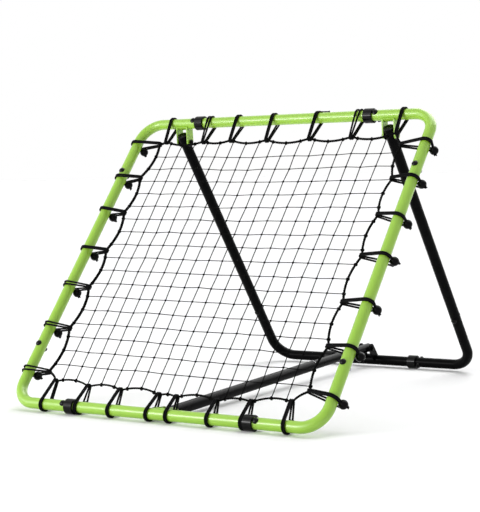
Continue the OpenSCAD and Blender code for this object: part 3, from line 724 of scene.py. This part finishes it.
def elasticLoop(side, tubeAt, ropeAt, ropeIn, shift, spread, wide):
    radius = elastic["radius"]
    tubeWrap = elastic["tubeRadius"] + elastic["gap"] + radius
    ropeWrap = rope["radius"] + elastic["gap"] + radius
    away = elastic["tubeRadius"] + elastic["ballGap"] + elastic["ballRadius"]
    turn = math.radians(elastic["ballTurn"][side])
    ball = Vector((away * math.cos(turn), away * math.sin(turn)))      # behind, inward
    tubeFrom = math.pi / 2 - turn + math.acos(tubeWrap / away)
    tubeTo = 2 * math.pi - math.acos((tubeWrap - ropeWrap) / ropeIn)
    hookBehind, hookIn = (value / 1000 for value in elastic["hook"][side])
    neck = Vector((hookBehind, hookIn))
    back = neck - Vector((0, ropeIn))
    ropeTo = 2 * math.pi + math.atan2(back.x, back.y) - math.acos(ropeWrap / back.length)
    close = radius + elastic["cordGap"]

    def place(flat, along):
        # along is counted from the straight line between the two places
        middle = tubeAt + (ropeAt - tubeAt) * flat.y / ropeIn
        return sides[side](middle + along, *flat)

    knot = place(ball, shift)
    halves = []
    tubeSteps, ropeSteps = elastic["tubeSteps"], elastic["ropeSteps"]
    for sign in (-1, 1):
        points = [place(ball, shift + sign * close * elastic["inBall"])]
        for i in range(tubeSteps + 1):
            angle = tubeFrom + (tubeTo - tubeFrom) * i / tubeSteps
            flat = Vector((tubeWrap * math.sin(angle), tubeWrap * math.cos(angle)))
            opened = close + (spread - close) * min(1, 3 * i / tubeSteps)
            points.append(place(flat, sign * opened))
        for i in range(ropeSteps + 1):
            angle = tubeTo + (ropeTo - tubeTo) * i / ropeSteps
            flat = Vector((ropeWrap * math.sin(angle), ropeIn + ropeWrap * math.cos(angle)))
            points.append(place(flat, sign * close))
        halves.append(points)
    outward = neck.normalized() * (2 * radius)
    reach, width = elastic["hookRound"]
    shoulder = neck + outward * reach
    hook = [place(neck, -wide), place(shoulder, -wide * width), place(neck + outward, 0),
            place(shoulder, wide * width), place(neck, wide)]
    loop = halves[0] + bent([halves[0][-1]] + hook + [halves[1][-1]])[1:-1] + halves[1][::-1]
    # the knot faces away from the tube, and downwards where the ball hangs
    out, down = elastic["facing"]
    facing = place(ball * out, shift * down) - knot
    return loop, knot, facing.normalized()


cordKnot = {
    "points": 36,
    "sunk": 0.001,  # how far it sits in the ball's mouth
    "width": 0.0009,
    "height": 0.0012,
    "spread": (0.4, 0.9),  # how far the two cut ends turn apart, from and to
    "sway": 0.5,
    "endLength": (0.003, 0.005),
}


def knotCurls(knot, way, drift):
    # a small knot on the ball's far side and the cord's two cut ends
    side = way.orthogonal().normalized()
    other = way.cross(side)
    seat = knot + way * (elastic["ballRadius"] - cordKnot["sunk"])
    curl = []
    for i in range(cordKnot["points"] + 1):
        t = 2 * math.pi * i / cordKnot["points"]
        ring = (math.sin(t) + 2 * math.sin(2 * t), math.cos(t) - 2 * math.cos(2 * t),
                -math.sin(3 * t))
        flat = (side * ring[0] + other * ring[1]) * cordKnot["width"]
        curl.append(seat + flat + way * ring[2] * cordKnot["height"])
    tails = []
    for sign in (-1, 1):
        sway = cordKnot["sway"]
        bend = side * sign * drift.uniform(*cordKnot["spread"]) + other * drift.uniform(-sway, sway)
        length = drift.uniform(*cordKnot["endLength"])
        tails.append([seat, seat + (way + bend * 0.4) * length * 0.5, seat + (way + bend) * length])
    return curl, tails


def makeElastics(side, drift):
    cords, knots, balls = [], [], bmesh.new()
    for measures in elastic[side]:
        loop, knot, way = elasticLoop(side, *(value / 1000 for value in measures))
        curl, tails = knotCurls(knot, way, drift)
        cords.append(loop)
        knots += [curl, *tails]
        turn = way.to_track_quat("Z", "Y").to_matrix().to_4x4()
        addBall(balls, Matrix.Translation(knot) @ turn)
    meshes = [cordCurve(side + "Elastics", cords, elastic["radius"], corners=10),
              cordCurve(side + "Knots", knots, elastic["knotCord"])]
    if side == "top":
        line = [sides[side](*(value / 1000 for value in place)) for place in looseEnd["places"]]
        full = looseEnd["fullness"]
        meshes.append(cordCurve("looseEnd", [line], looseEnd["radius"], fullness=full))
    dress(joined(side + "Elastics", *meshes), "front_frame", "elastic", side + "_cords")
    dress(keep(balls, side + "Balls", smooth=True), "front_frame", "ball", side + "_cord_balls")


# the ball's mouths: where they start, as a share of the radius, the share of the
# height that is left at their middle, and how much more is left at their edge
mouth = {"from": 0.955, "middle": 0.62, "slope": 0.3}


def addBall(balls, place):
    # a drilled ball, its two mouths dished in
    radius = elastic["ballRadius"]
    made = bmesh.ops.create_uvsphere(balls, u_segments=32, v_segments=20, radius=radius)
    for vert in made["verts"]:
        rise = abs(vert.co.z) / radius
        if rise > mouth["from"]:
            depth = (rise - mouth["from"]) / (1 - mouth["from"])
            vert.co.z *= mouth["middle"] + mouth["slope"] * (1 - depth)
    bmesh.ops.transform(balls, matrix=place, verts=made["verts"])


# The strut's bare cut edge, where the inner tube slides in

rim = {"place": 0.7, "radius": 0.0152, "bore": 0.0138, "thickness": 0.0014, "corners": 48}


def makeRim():
    start, end = middleOf("strut_front_bolt"), middleOf("strut_rear_bolt")
    along = (end - start).normalized()
    along.x = 0
    ring = bmesh.new()
    turn = along.to_track_quat("Z", "X").to_matrix().to_4x4()
    middle = (railLow.x, start.y, start.z)
    rounds = []
    for radius, height in (("radius", 0), ("radius", 1), ("bore", 1), ("bore", 0)):
        shift = Matrix.Translation((0, 0, rim["place"] + height * rim["thickness"]))
        made = bmesh.ops.create_circle(
            ring, segments=rim["corners"], radius=rim[radius],
            matrix=Matrix.Translation(middle) @ turn @ shift)
        rounds.append(list({edge for vert in made["verts"] for edge in vert.link_edges}))
    for a, b in zip(rounds, rounds[1:] + rounds[:1]):
        bmesh.ops.bridge_loops(ring, edges=a + b)
    thing = keep(ring, "strutRim", smooth=True)
    thing.data.materials.append(finishes["steel"])
    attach(thing, "strut_outer")


makeRim()
print("strut rim made")

drift = random.Random(11)
for side in sides:
    makeElastics(side, drift)
print("elastics made")
